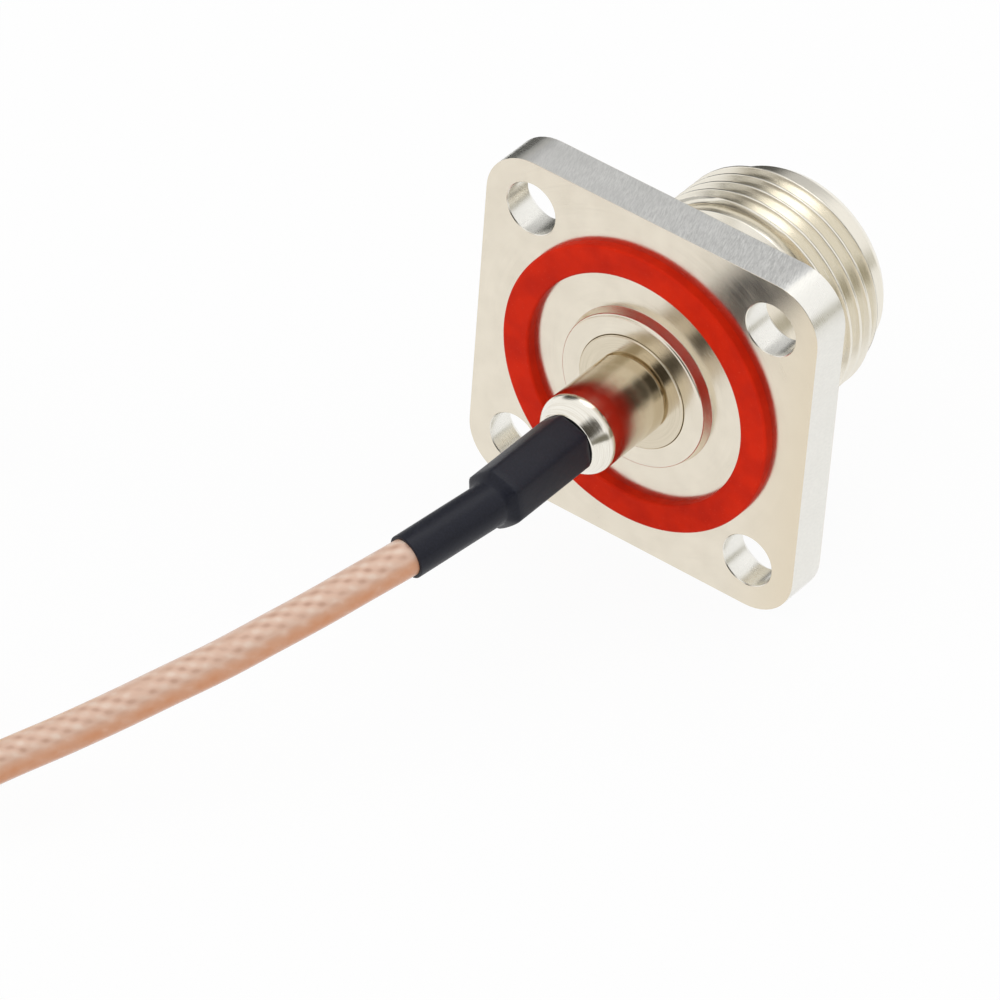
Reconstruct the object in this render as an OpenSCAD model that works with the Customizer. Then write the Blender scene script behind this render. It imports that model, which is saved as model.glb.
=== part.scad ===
// Square-flange coaxial jack with a crimped thin coaxial lead.
// The flange stands on its lower edge. +Y is the mating direction, +Z is up, and the
// origin is the centre of the flange's rear face, the one that carries the gasket.

/* [Flange] */
// Side of the square flange
flange_side = 25.4; // [24:0.1:30]
// Thickness of the flange
flange_t = 3; // [2.4:0.1:4.5]
// Radius of the flange's corners
flange_corner_r = 3.4; // [1:0.1:4]
// Distance from a mounting hole's centre to the flange's edges
hole_inset = 3.5; // [3:0.1:3.8]
// Diameter of the mounting holes
hole_d = 3.7; // [2.5:0.1:4]
// Depth of the countersink on the front of each hole
hole_sink = 0.85; // [0.2:0.05:1.2]
// Diameter of the round boss on the rear face
boss_d = 11.1; // [9.5:0.1:14]
// Height of the boss
boss_h = 0.85; // [0.4:0.05:1.6]

/* [Barrel] */
// Diameter of the relief between the flange and the barrel
relief_d = 12.6; // [11:0.1:13.6]
// Length of the relief
relief_len = 6.8; // [5:0.1:9]
// Diameter of the plain land behind the thread
land_d = 14.6; // [14:0.1:15]
// Length of the land
land_len = 0.65; // [0.4:0.05:1.5]
// Outside diameter of the thread
thread_d = 15.88; // [15.2:0.01:17]
// Length of the thread
thread_len = 4.4; // [3:0.1:7]
// Diameter of the plain collar in front of the thread
collar_d = 14; // [12.5:0.1:14.6]
// Length of the collar
collar_len = 2.35; // [1.2:0.05:4]
// Height of the bevel on the collar's front edge
collar_bevel = 0.4; // [0.1:0.05:0.8]
// Length of that bevel along the barrel
collar_bevel_len = 0.6; // [0.1:0.05:1]
// Diameter of the mating bore
mate_d = 8.5; // [8:0.1:9.5]
// Depth of the mating bore
mate_depth = 9.1; // [8:0.1:10]
// Bevel at the mouth of the mating bore
mouth_bevel = 0.5; // [0.1:0.05:0.9]

/* [Inside] */
// Height of the step from the bush down to the front insulator
bush_step = 0.12; // [0.05:0.01:0.4]
// Depth of the bush in front of the flange's rear face
bush_depth = 2.5; // [1.6:0.1:2.8]
// How far the bush stands proud of the boss
bush_proud = 0.1; // [0:0.05:0.4]
// Diameter of the front insulator
insulator_d = 7.8; // [7.2:0.1:8.2]
// Height of the step that the front insulator seats on
seat_step = 0.4; // [0.2:0.05:0.7]
// Length of the front insulator
insulator_len = 3.6; // [2.4:0.1:4.4]
// Diameter of the centre contact
contact_d = 3.04; // [2.8:0.02:3.4]
// Diameter of the centre contact's waist in the front insulator
waist_d = 2.2; // [1.8:0.1:2.6]
// Diameter of the centre contact's tail
tail_d = 1.4; // [1.2:0.1:1.6]
// How far the contact's tip lies behind the barrel's front
contact_recess = 4.6; // [4.4:0.1:5.4]
// Diameter of the contact's socket
socket_d = 1.7; // [1.5:0.05:1.9]
// Depth of the contact's socket
socket_depth = 4.2; // [3:0.1:5]
// Width of the slots between the contact's fingers
finger_slot = 0.25; // [0.15:0.05:0.3]
// Number of slots across the contact's tip
finger_slots = 2; // [1:1:3]
// Diameter of the rear insulator
rear_insulator_d = 4.2; // [3.6:0.1:4.4]
// Depth of the rear insulator behind the flange's rear face
rear_insulator_back = 2; // [1:0.1:3]

/* [Gasket] */
// Inside diameter of the gasket
gasket_hole_d = 16.4; // [14:0.1:17.2]
// Width of the gasket's ring
gasket_width = 2; // [1:0.1:2.4]
// Thickness of the gasket
gasket_t = 0.7; // [0.4:0.05:1.5]

/* [Crimp] */
// Diameter of the turned neck behind the boss
neck_d = 5.6; // [5:0.1:6.4]
// Distance from the flange's rear face to the neck's rear rim
neck_back = 6.6; // [5:0.1:9]
// Length of the neck's conical end
neck_cone_len = 1.1; // [0.6:0.1:2]
// Small diameter of the neck's conical end
neck_cone_d = 4.1; // [3.6:0.1:4.6]
// Wall of the tube that the braid is crimped on
post_wall = 0.2; // [0.15:0.05:0.3]
// Length of that tube
post_len = 4.4; // [3:0.1:5.5]
// Length of the crimped ferrule
ferrule_len = 6.85; // [5.5:0.05:9]
// Least wall of the ferrule, at its flats
ferrule_wall = 0.33; // [0.2:0.01:0.5]
// Thickness of the braid spread over the post
braid_t = 0.25; // [0.15:0.01:0.3]
// Turn of the crimp's first corner, from +X towards +Z
crimp_turn = 47; // [0:1:59]
// Wall of the heat-shrink over the ferrule
shrink_wall = 0.36; // [0.2:0.02:0.5]
// Wall of the heat-shrink over the cable
shrink_slim_wall = 0.2; // [0.15:0.05:0.4]
// Length of the heat-shrink's shoulder
shoulder_len = 1.15; // [0.6:0.05:2]

/* [Cable] */
// Diameter of the cable
cable_d = 2.5; // [2.3:0.1:2.6]
// Diameter of the cable's conductor
core_d = 0.5; // [0.4:0.05:0.6]
// Diameter of the cable's dielectric
dielectric_d = 1.52; // [1.4:0.02:1.6]

/* [Plug at the far end] */
// Least wall of the coupling nut, from its thread to its flats
nut_wall = 0.825; // [0.6:0.025:1.3]
// Length of the coupling nut
nut_len = 6.6; // [5.6:0.1:8]
// Diameter of the coupling nut's thread
nut_thread_d = 6.35; // [6.2:0.05:6.8]
// Diameter of the hole at the rear of the coupling nut
nut_rear_d = 5.7; // [5.5:0.1:6]
// Diameter of the plug's body behind the nut
plug_body_d = 6.4; // [6:0.1:7]
// Length of the plug's body behind the nut
plug_body_len = 2.4; // [1.5:0.1:4]
// Inside diameter of the plug's mating sleeve
plug_sleeve_hole_d = 4.1; // [3.9:0.05:4.2]
// Wall of the plug's mating sleeve
plug_sleeve_wall = 0.25; // [0.2:0.01:0.3]
// Diameter of the plug's pin
pin_d = 0.92; // [0.8:0.02:1]

/* [Fits] */
// Gap around pieces that are pressed or pushed together
push_gap = 0.02; // [0.01:0.01:0.03]
// Gap at the ends of pieces that turn
turn_gap = 0.12; // [0.08:0.01:0.15]
// Gap around the journal that the coupling nut turns on
journal_gap = 0.08; // [0.04:0.01:0.1]

/* [Hidden] */

$fn = 96;
nothing = 0.01;

// The jack along +Y
relief_end = flange_t + relief_len;
thread_start = relief_end + land_len;
thread_end = thread_start + thread_len;
barrel_front = thread_end + collar_len;
mate_floor = barrel_front - mate_depth;
seat_front = bush_depth + push_gap + insulator_len + push_gap;
bush_back = boss_h + bush_proud;
contact_tip = barrel_front - contact_recess;
floor_z = -flange_side / 2;
hole_place = flange_side / 2 - hole_inset;
bush_d = insulator_d + 2 * bush_step;
line_d = insulator_d - 2 * seat_step;
gasket_d = gasket_hole_d + 2 * gasket_width;

// The crimp, in distances behind the flange's rear face
cone_back = neck_back + neck_cone_len;
post_back = cone_back + post_len;
ferrule_front = cone_back + 0.05;
ferrule_back = ferrule_front + ferrule_len;
post_hole_d = dielectric_d + 2 * push_gap;
post_d = post_hole_d + 2 * post_wall;
braid_d = post_d + 2 * push_gap + 2 * braid_t;
ferrule_hole_d = max(cable_d, braid_d) + 0.1;
ferrule_af = ferrule_hole_d + 2 * ferrule_wall;
shrink_af = ferrule_af + 2 * shrink_wall;
shrink_hole_d = cable_d + 2 * push_gap;
shrink_d = shrink_hole_d + 2 * shrink_slim_wall;
strip_gap = 0.15;
cable_front = post_back + strip_gap;

// The contact's solder cup
cup_back = -rear_insulator_back + 0.4;
cup_depth = 2.5;

// The coil: one turn on the surface and a quarter turn on top of it
tie_t = 0.3;
tie_gap = 0.1;
cable_z = floor_z + tie_t + push_gap + cable_d / 2;
coil_x = -29.5;
coil_y = -50;
coil_r = 12.5;
coil_lift = cable_d;
coil_entry = -28;
coil_exit = 265;
coil_top_turn = 92;
tie_angle = -62;
tie_width = 3;

// The cable's route from the crimp down to the coil: straight as far as the end of the
// heat-shrink's shoulder, then chosen points
lead_route = concat([[0, -cable_front, 0], [0, -ferrule_back, 0],
    [0, -ferrule_back - shoulder_len, 0]], [
    [-0.48, -18.2, -0.28], [-0.91, -20.4, -0.54], [-1.27, -22.2, -0.76], [-2.4, -25, -1.6],
    [-3.6, -27.9, -2.5], [-4.9, -30.8, -3.4], [-6.4, -33.7, -4.5], [-8, -36.6, -5.5],
    [-9.7, -39.5, -6.6], [-11.5, -42.4, -7.7], [-13.2, -45.2, -8.6], [-14.9, -48.2, -9.6],
    [-16.3, -51, -10.5], [-17.5, -53.6, -11]],
    [[coil_x + coil_r * cos(coil_entry), coil_y + coil_r * sin(coil_entry), cable_z]]);
shrink_first = 2;
shrink_last = 5;

// The plug at the far end lies along +Y
plug_x = -39.7;
nut_af = nut_thread_d + 2 * nut_wall;
plug_z = floor_z + nut_af / 2 + 0.3;
plug_ferrule_back = -39.5;
plug_ferrule_front = plug_ferrule_back + ferrule_len;
plug_post_back = plug_ferrule_front + 0.05 - post_len;
plug_cable_front = plug_post_back - strip_gap;
plug_neck_back = plug_ferrule_front + 0.05;
plug_neck_d = 4.4;
plug_body_back = plug_neck_back + 1.6;
plug_body_front = plug_body_back + plug_body_len;
nut_back = plug_body_front + turn_gap;
nut_front = nut_back + nut_len;
nut_lip = 1;
nut_groove_d = nut_thread_d + 0.55;
journal_d = nut_rear_d - 2 * journal_gap;
ring_back = nut_back + nut_lip + turn_gap;
ring_front = ring_back + 0.5;
ring_d = nut_groove_d - 0.3;
ring_groove_d = journal_d - 0.64;
plug_sleeve_d = plug_sleeve_hole_d + 2 * plug_sleeve_wall;
collar_front = ring_front + push_gap + 0.8;
plug_gasket_d = nut_thread_d - 0.35;
plug_gasket_front = collar_front + 0.6;
plug_sleeve_front = nut_front - 1.2;
plug_chamber_back = plug_neck_back + 0.4;
plug_chamber_d = 2.8;
plug_insulator_back = collar_front - 0.6;
plug_insulator_front = plug_sleeve_front - 1.4;
pin_back = plug_chamber_back + 0.3;
pin_front = nut_front - 0.6;
pin_cup_d = 1.3;
pin_waist_d = 1.1;
tail_route = [
    [coil_x + coil_r * cos(coil_exit), coil_y + coil_r * sin(coil_exit), cable_z + coil_lift],
    [-33.9, -61.5, -8.6], [-36.8, -59.6, -8.6], [-38.8, -56.7, -8.5], [-39.5, -54.2, -8.4],
    [plug_x, -52, plug_z], [plug_x, plug_ferrule_back, plug_z],
    [plug_x, plug_cable_front, plug_z]];
plug_shrink_back = -43.6;

// A turned solid on the Y axis, from its outline in [radius, y] points
module turned(outline) {
    rotate([-90, 0, 0])
        rotate_extrude()
            polygon([for (p = outline) [p[0], p[1]]]);
}

// A straight round rod or, with a hole, a tube on the Y axis
module tube_y(from, to, d, hole_d = 0) {
    translate([0, from, 0])
        rotate([-90, 0, 0])
            difference() {
                cylinder(h = to - from, d = d);
                if (hole_d > 0)
                    translate([0, 0, -1])
                        cylinder(h = to - from + 2, d = hole_d);
            }
}

// A hexagonal rod on the Y axis, with a corner at the given turn from +X towards +Z
module hex_y(from, to, af, turn) {
    translate([0, from, 0])
        rotate([-90, 0, 0])
            rotate([0, 0, -turn])
                cylinder(h = to - from, r = af / 2 / cos(30), $fn = 6);
}

// Direction of a route at one of its points
function unit(v) = v / norm(v);
function heading(route, i) =
    unit(route[min(i + 1, len(route) - 1)] - route[max(i - 1, 0)]);

// The points of one ring, and of all the rings, of a swept solid
function ring(at, ahead, r, sides) =
    let (side = unit(cross(ahead, [0, 0, 1])), up = cross(side, ahead))
    [for (k = [0 : sides - 1])
        let (a = 360 * (k + 0.5) / sides)
        at + r * (cos(a) * side + sin(a) * up)];
function rings(route, headings, r, sides) =
    [for (i = [0 : len(route) - 1]) each ring(route[i], headings[i], r, sides)];

// The faces between the rings, with the index of the first ring's first point
function walls(count, sides, first = 0) =
    [for (i = [0 : count - 2], k = [0 : sides - 1])
        let (here = first + i * sides, n = (k + 1) % sides)
        [here + k, here + n, here + sides + n, here + sides + k]];
function reversed(face) = [for (k = [len(face) - 1 : -1 : 0]) face[k]];

// A round bar swept along a route, as one closed solid
module swept(route, d, sides = 8) {
    count = len(route);
    headings = [for (i = [0 : count - 1]) heading(route, i)];
    start_cap = [for (k = [sides - 1 : -1 : 0]) k];
    end_cap = [for (k = [0 : sides - 1]) (count - 1) * sides + k];
    polyhedron(points = rings(route, headings, d / 2, sides),
        faces = concat([start_cap], walls(count, sides), [end_cap]), convexity = 4);
}

// A round tube swept along a route, as one closed solid
module swept_tube(route, headings, d, hole_d, sides = 16) {
    count = len(route);
    inner = count * sides;
    last = inner - sides;
    inside = [for (face = walls(count, sides, inner)) reversed(face)];
    start_cap = [for (k = [0 : sides - 1])
        let (n = (k + 1) % sides) [n, k, inner + k, inner + n]];
    end_cap = [for (k = [0 : sides - 1])
        let (n = (k + 1) % sides) [last + k, last + n, inner + last + n, inner + last + k]];
    polyhedron(points = concat(rings(route, headings, d / 2, sides),
            rings(route, headings, hole_d / 2 / cos(180 / sides), sides)),
        faces = concat(start_cap, walls(count, sides), inside, end_cap), convexity = 4);
}

module flange_plate() {
    corner = flange_side / 2 - flange_corner_r;
    rotate([-90, 0, 0])
        linear_extrude(flange_t) {
            square([flange_side, 2 * corner], center = true);
            square([2 * corner, flange_side], center = true);
            for (x = [-1, 1], y = [-1, 1])
                translate([x * corner, y * corner])
                    circle(r = flange_corner_r);
        }
}

// Drilled through the flange from behind, and countersunk on its front
module mounting_hole() {
    rotate([-90, 0, 0]) {
        translate([0, 0, -1])
            cylinder(h = flange_t + 2, d = hole_d);
        translate([0, 0, flange_t - hole_sink])
            cylinder(h = hole_sink + nothing, d1 = hole_d, d2 = hole_d + 2 * (hole_sink + nothing));
    }
}

// Flange, boss and barrel, turned from one bar, with a stepped bore right through
module jack_shell() {
    color([0.80, 0.78, 0.72])
        difference() {
            union() {
                flange_plate();
                turned([[0, -boss_h], [boss_d / 2, -boss_h], [boss_d / 2, nothing],
                    [relief_d / 2, nothing], [relief_d / 2, relief_end], [land_d / 2, relief_end],
                    [land_d / 2, thread_start], [thread_d / 2, thread_start],
                    [thread_d / 2, thread_end], [collar_d / 2, thread_end],
                    [collar_d / 2, barrel_front - collar_bevel_len],
                    [collar_d / 2 - collar_bevel, barrel_front], [0, barrel_front]]);
            }
            for (x = [-1, 1], z = [-1, 1])
                translate([x * hole_place, 0, z * hole_place])
                    mounting_hole();
            tube_y(-boss_h - 1, bush_depth + push_gap, bush_d + 2 * push_gap);
            tube_y(bush_depth, seat_front, insulator_d + 2 * push_gap);
            tube_y(seat_front - nothing, mate_floor + nothing, line_d);
            tube_y(mate_floor, barrel_front + 1, mate_d);
            turned([[0, barrel_front - mouth_bevel], [mate_d / 2, barrel_front - mouth_bevel],
                [mate_d / 2 + mouth_bevel + nothing, barrel_front + nothing],
                [0, barrel_front + nothing]]);
        }
}

// Bush, neck and crimp post, turned as one piece and pressed into the flange
module crimp_body() {
    color([0.82, 0.78, 0.70])
        difference() {
            turned([[0, bush_depth], [bush_d / 2, bush_depth], [bush_d / 2, -bush_back],
                [neck_d / 2, -bush_back], [neck_d / 2, -neck_back], [neck_cone_d / 2, -cone_back],
                [post_d / 2, -cone_back], [post_d / 2, -post_back], [0, -post_back]]);
            tube_y(-post_back - 1, bush_depth + 1, post_hole_d);
            tube_y(-rear_insulator_back - push_gap, bush_depth + 1,
                rear_insulator_d + 2 * push_gap);
        }
}

module front_insulator() {
    color([0.95, 0.95, 0.93])
        tube_y(bush_depth + push_gap, seat_front - push_gap, insulator_d,
            waist_d + 2 * push_gap);
}

module rear_insulator() {
    color([0.95, 0.95, 0.93])
        tube_y(-rear_insulator_back, bush_depth, rear_insulator_d, tail_d + 2 * push_gap);
}

// Slotted socket in front, waist in the insulator and a solder cup behind
module centre_contact() {
    slot_depth = socket_depth - 0.6;
    color([0.85, 0.68, 0.30])
        difference() {
            turned([[0, cup_back], [tail_d / 2, cup_back], [tail_d / 2, bush_depth + push_gap],
                [waist_d / 2, bush_depth + push_gap], [waist_d / 2, seat_front],
                [contact_d / 2, seat_front], [contact_d / 2, contact_tip - 0.3],
                [contact_d / 2 - 0.3, contact_tip], [0, contact_tip]]);
            tube_y(contact_tip - socket_depth, contact_tip + 1, socket_d);
            tube_y(cup_back - 1, cup_back + cup_depth, core_d + 0.1);
            for (k = [0 : finger_slots - 1])
                translate([0, contact_tip - slot_depth, 0])
                    rotate([0, 45 + 180 * k / finger_slots, 0])
                        translate([-contact_d, 0, -finger_slot / 2])
                            cube([2 * contact_d, slot_depth + 1, finger_slot]);
        }
}

module panel_gasket() {
    color([0.80, 0.12, 0.05])
        tube_y(-gasket_t, 0, gasket_d, gasket_hole_d);
}

// A crimped ferrule: hexagonal outside, round inside
module ferrule(from, to) {
    difference() {
        hex_y(from, to, ferrule_af, crimp_turn);
        tube_y(from - 1, to + 1, ferrule_hole_d);
    }
}

module crimp_ferrule() {
    color([0.80, 0.78, 0.72])
        ferrule(-ferrule_back, -ferrule_front);
}

// Heat-shrink: hexagonal over a ferrule, with a shoulder down to the cable
module shrunk_hex(back, front) {
    difference() {
        union() {
            hex_y(back, front, shrink_af, crimp_turn);
            turned([[0, back - shoulder_len], [shrink_d / 2, back - shoulder_len],
                [shrink_af / 2, back], [0, back]]);
        }
        hex_y(back, front + 1, ferrule_af + 2 * push_gap, crimp_turn);
        tube_y(back - shoulder_len - 1, back + 1, shrink_hole_d);
    }
}

module heat_shrink_sleeve() {
    color([0.12, 0.12, 0.13])
        shrunk_hex(-ferrule_back, -ferrule_front);
}

// The thin end of the heat-shrink follows the cable
module heat_shrink_tail() {
    color([0.12, 0.12, 0.13])
        swept_tube([for (i = [shrink_first : shrink_last]) lead_route[i]],
            concat([[0, -1, 0]],
                [for (i = [shrink_first + 1 : shrink_last]) heading(lead_route, i)]),
            shrink_d, shrink_hole_d);
}

module cable_conductor() {
    color([0.85, 0.83, 0.80])
        tube_y(-cable_front, cup_back + cup_depth - 0.1, core_d);
}

module cable_dielectric() {
    color([0.95, 0.95, 0.93])
        tube_y(-cable_front, -rear_insulator_back - push_gap, dielectric_d,
            core_d + push_gap);
}

// The braid, spread over the crimp post and held by the ferrule
module cable_braid() {
    color([0.80, 0.62, 0.50])
        tube_y(-post_back, -ferrule_front - 0.2, braid_d, post_d + 2 * push_gap);
}

module cable_lead() {
    color([0.86, 0.68, 0.56])
        swept(lead_route, cable_d);
}

// The shape of the wound turns
module cable_coil() {
    color([0.86, 0.68, 0.56])
        translate([coil_x, coil_y, cable_z]) {
            rotate_extrude()
                translate([coil_r, 0]) circle(d = cable_d);
            rotate([0, 0, coil_exit])
                rotate_extrude(angle = coil_top_turn)
                    translate([coil_r, 0]) {
                        translate([0, coil_lift]) circle(d = cable_d);
                        translate([-cable_d / 4, 0]) square([cable_d / 2, coil_lift]);
                    }
        }
}

module cable_tail() {
    color([0.86, 0.68, 0.56])
        swept(tail_route, cable_d);
}

// A strap around the coil's section
module coil_tie() {
    wide = cable_d + 2 * tie_gap;
    high = push_gap + cable_d + coil_lift + tie_gap;
    color([0.10, 0.10, 0.11])
        translate([coil_x, coil_y, floor_z])
            rotate([0, 0, tie_angle])
                translate([coil_r, -tie_width / 2, 0])
                    difference() {
                        translate([-wide / 2 - tie_t, 0, 0])
                            cube([wide + 2 * tie_t, tie_width, high + 2 * tie_t]);
                        translate([-wide / 2, -1, tie_t])
                            cube([wide, tie_width + 2, high]);
                    }
}

// Places a piece of the plug on its axis
module on_plug() {
    translate([plug_x, 0, plug_z]) children();
}

// Crimp post, neck, journal for the nut, groove for the snap ring and mating sleeve
module plug_body() {
    color([0.86, 0.70, 0.34])
        on_plug()
            difference() {
                turned([[0, plug_post_back], [post_d / 2, plug_post_back],
                    [post_d / 2, plug_neck_back], [plug_neck_d / 2, plug_neck_back],
                    [plug_neck_d / 2, plug_body_back], [plug_body_d / 2, plug_body_back],
                    [plug_body_d / 2, plug_body_front], [journal_d / 2, plug_body_front],
                    [journal_d / 2, ring_back - push_gap],
                    [ring_groove_d / 2, ring_back - push_gap],
                    [ring_groove_d / 2, ring_front + push_gap],
                    [journal_d / 2, ring_front + push_gap], [journal_d / 2, collar_front],
                    [plug_sleeve_d / 2, collar_front], [plug_sleeve_d / 2, plug_sleeve_front],
                    [0, plug_sleeve_front]]);
                tube_y(plug_post_back - 1, plug_chamber_back + nothing, post_hole_d);
                tube_y(plug_chamber_back, plug_insulator_back + nothing, plug_chamber_d);
                tube_y(plug_insulator_back, plug_sleeve_front + 1, plug_sleeve_hole_d);
            }
}

module plug_coupling_nut() {
    color([0.86, 0.70, 0.34])
        on_plug()
            difference() {
                hex_y(nut_back, nut_front, nut_af, 0);
                tube_y(nut_back - 1, nut_back + nut_lip + nothing, nut_rear_d);
                tube_y(nut_back + nut_lip, ring_front + turn_gap, nut_groove_d);
                tube_y(ring_front, nut_front + 1, nut_thread_d);
            }
}

// A split ring that keeps the nut on the plug's body
module plug_snap_ring() {
    color([0.75, 0.74, 0.70])
        on_plug()
            difference() {
                tube_y(ring_back, ring_front, ring_d, ring_groove_d + 2 * push_gap);
                translate([0, ring_back - 1, -0.4])
                    cube([ring_d, ring_front - ring_back + 2, 0.8]);
            }
}

module plug_gasket() {
    color([0.80, 0.12, 0.05])
        on_plug()
            tube_y(collar_front, plug_gasket_front, plug_gasket_d,
                plug_sleeve_d + 2 * push_gap);
}

module plug_insulator() {
    color([0.95, 0.95, 0.93])
        on_plug()
            tube_y(plug_insulator_back, plug_insulator_front,
                plug_sleeve_hole_d - 2 * push_gap, pin_waist_d + 2 * push_gap);
}

module plug_pin() {
    color([0.86, 0.70, 0.34])
        on_plug()
            difference() {
                turned([[0, pin_back], [pin_cup_d / 2, pin_back],
                    [pin_cup_d / 2, plug_insulator_back - push_gap],
                    [pin_waist_d / 2, plug_insulator_back - push_gap],
                    [pin_waist_d / 2, plug_insulator_front],
                    [pin_d / 2, plug_insulator_front + 0.2], [pin_d / 2, pin_front - 0.5],
                    [pin_d / 4, pin_front], [0, pin_front]]);
                tube_y(pin_back - 1, pin_back + cup_depth, core_d + 0.1);
            }
}

module plug_conductor() {
    color([0.85, 0.83, 0.80])
        on_plug()
            tube_y(plug_cable_front, pin_back + cup_depth - 0.1, core_d);
}

module plug_dielectric() {
    color([0.95, 0.95, 0.93])
        on_plug()
            tube_y(plug_cable_front, plug_chamber_back, dielectric_d, core_d + push_gap);
}

module plug_braid() {
    color([0.80, 0.62, 0.50])
        on_plug()
            tube_y(plug_post_back, plug_ferrule_front - 0.2, braid_d, post_d + 2 * push_gap);
}

module plug_ferrule() {
    color([0.86, 0.70, 0.34])
        on_plug()
            ferrule(plug_ferrule_back, plug_ferrule_front);
}

module plug_heat_shrink() {
    color([0.12, 0.12, 0.13])
        on_plug() {
            shrunk_hex(plug_ferrule_back, plug_ferrule_front);
            tube_y(plug_shrink_back, plug_ferrule_back - shoulder_len + nothing, shrink_d,
                shrink_hole_d);
        }
}

jack_shell();
crimp_body();
front_insulator();
rear_insulator();
centre_contact();
panel_gasket();
crimp_ferrule();
heat_shrink_sleeve();
heat_shrink_tail();
cable_conductor();
cable_dielectric();
cable_braid();
cable_lead();
cable_coil();
cable_tail();
coil_tie();
plug_body();
plug_coupling_nut();
plug_snap_ring();
plug_gasket();
plug_insulator();
plug_pin();
plug_conductor();
plug_dielectric();
plug_braid();
plug_ferrule();
plug_heat_shrink();
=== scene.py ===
import math
import bmesh
import bpy
from mathutils import Matrix, Vector


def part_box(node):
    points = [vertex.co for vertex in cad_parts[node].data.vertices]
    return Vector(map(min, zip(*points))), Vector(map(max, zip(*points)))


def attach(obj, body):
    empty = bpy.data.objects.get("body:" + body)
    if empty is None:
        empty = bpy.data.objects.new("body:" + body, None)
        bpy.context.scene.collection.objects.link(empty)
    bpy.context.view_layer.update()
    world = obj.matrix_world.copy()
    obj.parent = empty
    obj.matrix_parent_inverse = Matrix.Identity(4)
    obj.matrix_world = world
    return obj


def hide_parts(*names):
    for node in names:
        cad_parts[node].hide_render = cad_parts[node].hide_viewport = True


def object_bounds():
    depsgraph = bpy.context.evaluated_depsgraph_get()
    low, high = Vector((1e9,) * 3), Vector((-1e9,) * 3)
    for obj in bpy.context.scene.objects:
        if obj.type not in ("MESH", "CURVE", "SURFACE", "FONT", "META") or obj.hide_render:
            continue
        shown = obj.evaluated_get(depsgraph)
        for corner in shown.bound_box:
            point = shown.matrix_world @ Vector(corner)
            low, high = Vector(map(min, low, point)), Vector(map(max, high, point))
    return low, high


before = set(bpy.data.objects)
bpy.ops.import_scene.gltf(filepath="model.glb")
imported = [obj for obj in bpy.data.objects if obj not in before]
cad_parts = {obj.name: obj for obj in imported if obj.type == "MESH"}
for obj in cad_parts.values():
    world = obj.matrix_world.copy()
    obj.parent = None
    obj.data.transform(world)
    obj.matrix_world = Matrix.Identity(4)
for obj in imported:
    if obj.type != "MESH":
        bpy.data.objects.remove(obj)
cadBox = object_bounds()
scene = bpy.context.scene
mm = 0.001                      # lengths below are in millimetres


# The lowest and highest corners of a CAD node
def boxOf(node):
    low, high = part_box(node)
    return Vector(low) / mm, Vector(high) / mm


cameraSettings = {
    "place": (0.21682, -0.33161, 0.31363),      # in metres
    "right": (0.79576, 0.60269, 0.05935),
    "up": (-0.41932, 0.47762, 0.77204),
    "lens": 291.09,
    "sensor": 36,
    "clip": (0.01, 20),
}


def addCamera():
    s = cameraSettings
    right = Vector(s["right"]).normalized()
    up = Vector(s["up"])
    up = (up - right * up.dot(right)).normalized()
    back = right.cross(up)
    data = bpy.data.cameras.new("productCamera")
    data.lens = s["lens"]
    data.sensor_width = s["sensor"]
    data.clip_start, data.clip_end = s["clip"]
    camera = bpy.data.objects.new("productCamera", data)
    turn = Matrix((right, up, back)).transposed().to_4x4()
    camera.matrix_world = Matrix.Translation(s["place"]) @ turn
    scene.collection.objects.link(camera)
    scene.camera = camera


addCamera()
print("camera")

shapeSettings = {
    "weld": 0.0005,             # corners closer than this become one
    "filletSteps": 4,
    "filletMost": 0.49,         # the most of an edge that one fillet takes
    "crisp": 33,                # edges sharper than this, in degrees, stay crisp
    "normalWeight": 80,
}


# A grid rolled up into a tube; place(row, share of a turn) gives each corner
def rolled(rows, sides, place, bm=None):
    bm = bm or bmesh.new()
    if "UVMap" not in bm.loops.layers.uv:
        bm.loops.layers.uv.new("UVMap")
    grid = bmesh.ops.create_grid(bm, x_segments=sides, y_segments=rows - 1, size=1,
                                 calc_uvs=True)["verts"]
    for v in grid:
        around = round((v.co.x + 1) / 2 * sides) / sides
        v.co = place(round((v.co.y + 1) / 2 * (rows - 1)), around)
    bmesh.ops.remove_doubles(bm, verts=grid, dist=shapeSettings["weld"])
    return bm


# An outline of (radius, y, fillet) corners, with each fillet as a curve
def rounded(outline, closed):
    steps, most = shapeSettings["filletSteps"], shapeSettings["filletMost"]
    corners = [Vector(c[:2]) for c in outline]
    points = []
    for i, corner in enumerate(outline):
        at = corners[i]
        fillet = corner[2] if len(corner) > 2 else 0
        if not fillet or (not closed and i in (0, len(outline) - 1)):
            points.append(at)
            continue
        before = corners[i - 1] - at
        after = corners[(i + 1) % len(corners)] - at
        a = at + before.normalized() * min(fillet, before.length * most)
        b = at + after.normalized() * min(fillet, after.length * most)
        for k in range(steps + 1):
            t = k / steps
            points.append(a * (1 - t) ** 2 + at * (2 * t * (1 - t)) + b * t ** 2)
    return points


# A turned shape about a Y axis; shift(radius, y, share of a turn) may change a radius
def turned(outline, sides, closed=True, shift=None, at=(0, 0, 0), bm=None):
    points = rounded(outline, closed)
    if closed:
        points.append(points[0])

    def place(row, around):
        radius, y = points[row]
        if shift:
            radius = shift(radius, y, around)
        turn = 2 * math.pi * around
        return Vector(at) + Vector((radius * math.cos(turn), y, radius * math.sin(turn)))

    return rolled(len(points), sides, place, bm)


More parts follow.
